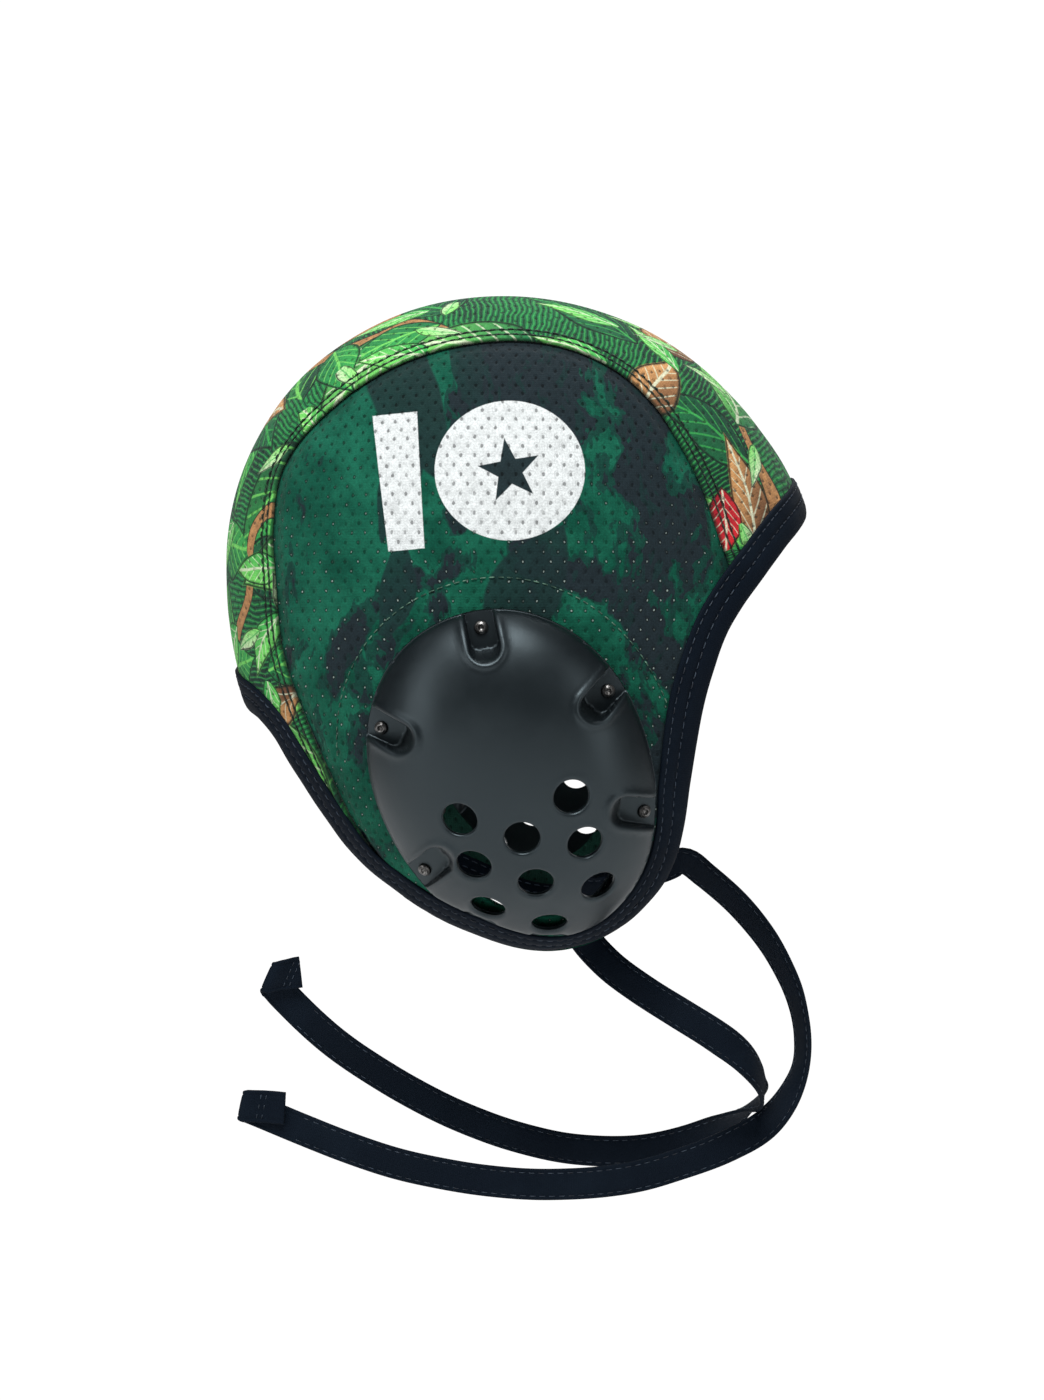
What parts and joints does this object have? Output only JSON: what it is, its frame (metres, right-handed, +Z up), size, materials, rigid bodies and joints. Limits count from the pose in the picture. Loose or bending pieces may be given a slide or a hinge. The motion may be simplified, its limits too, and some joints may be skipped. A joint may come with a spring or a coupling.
{
  "type": "water polo cap",
  "caption": "Fabric water polo cap with vented moulded ear guards riveted over the ears, a bound edge and two tape ties that hang under the chin.",
  "frame": {"origin": "the inside of the crown at its highest point, where the cap sits on the top of a head", "axes": "+X to the forehead, +Y to the wearer's left, +Z up"},
  "size_m": [0.1833, 0.1766, 0.2794],
  "materials": {
    "crown_cloth": "knitted mesh with a printed leaf pattern in bright greens",
    "side_cloth": "knitted mesh, dark green with near-black blotches and plain white numbers",
    "tape": "woven tape, near-black navy, stitched along both edges",
    "guard_plastic": "satin moulded plastic, charcoal",
    "rivet": "small domed heads with a hexagon socket"
  },
  "bodies": {
    "root": {"crown_panel": "crown_cloth", "side_panel_right": "side_cloth", "side_panel_left": "side_cloth", "ear_guard_right": "guard_plastic", "ear_guard_left": "guard_plastic", "rivet_right_1": "rivet", "rivet_right_2": "rivet", "rivet_right_3": "rivet", "rivet_right_4": "rivet", "rivet_right_5": "rivet", "rivet_left_1": "rivet", "rivet_left_2": "rivet", "rivet_left_3": "rivet", "rivet_left_4": "rivet", "rivet_left_5": "rivet", "edge_binding": "tape", "tie_right": "tape", "tie_left": "tape"}
  },
  "joints": []
}
